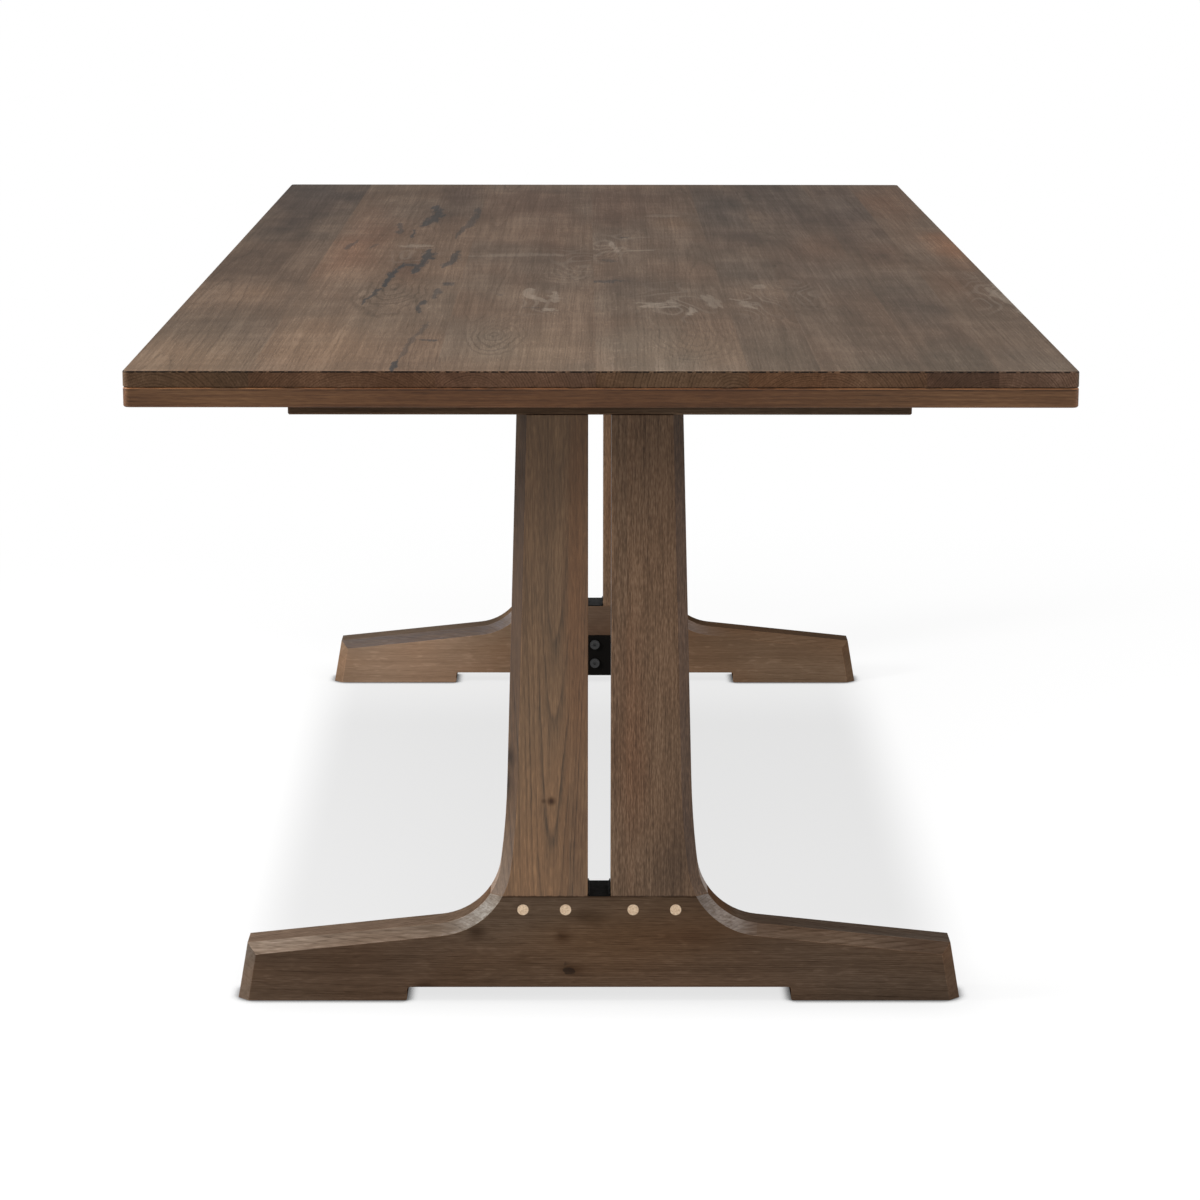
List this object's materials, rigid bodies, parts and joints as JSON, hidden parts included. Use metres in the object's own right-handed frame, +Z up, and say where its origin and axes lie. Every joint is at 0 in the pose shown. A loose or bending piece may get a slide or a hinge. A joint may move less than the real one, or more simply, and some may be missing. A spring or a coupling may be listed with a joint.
{
  "type": "trestle dining table",
  "caption": "Rectangular dining table with a thick plank top on two slotted post-and-foot trestles, in smoked oak with black steel foot plates.",
  "frame": {"origin": "on the floor, under the middle of the top", "axes": "+X across the top, +Y along it from the near trestle to the far one, +Z up"},
  "size_m": [0.989, 2.134, 0.762],
  "materials": {
    "oak_top": "smoked oak, satin oil",
    "oak_base": "smoked oak, satin oil",
    "plywood": "bare beech plywood",
    "pin_wood": "pale end grain, oiled",
    "black_steel": "satin black paint",
    "zinc_steel": "zinc-plated fasteners",
    "insert_brass": "turned brass"
  },
  "bodies": {
    "root": {"top_board_1": "oak_top", "top_board_2": "oak_top", "top_board_3": "oak_top", "top_board_4": "oak_top", "top_board_5": "oak_top", "top_board_6": "oak_top", "top_board_7": "oak_top", "top_board_8": "oak_top", "rail_near": "oak_top", "rail_far": "oak_top", "rail_left": "oak_top", "rail_right": "oak_top", "edge_splines": "plywood", "mitre_splines": "plywood", "middle_batten": "oak_base", "end_rail_screws": "zinc_steel", "batten_screws": "zinc_steel", "near_crossbar": "oak_base", "near_post_left": "oak_base", "near_post_right": "oak_base", "near_foot": "oak_base", "near_foot_pins": "pin_wood", "near_slot_shoe": "black_steel", "near_foot_plate": "black_steel", "near_plate_bolts": "black_steel", "near_plate_inserts": "insert_brass", "near_bar_bolts": "zinc_steel", "near_bar_washers": "zinc_steel", "near_bar_inserts": "insert_brass", "far_crossbar": "oak_base", "far_post_left": "oak_base", "far_post_right": "oak_base", "far_foot": "oak_base", "far_foot_pins": "pin_wood", "far_slot_shoe": "black_steel", "far_foot_plate": "black_steel", "far_plate_bolts": "black_steel", "far_plate_inserts": "insert_brass", "far_bar_bolts": "zinc_steel", "far_bar_washers": "zinc_steel", "far_bar_inserts": "insert_brass"}
  },
  "joints": []
}
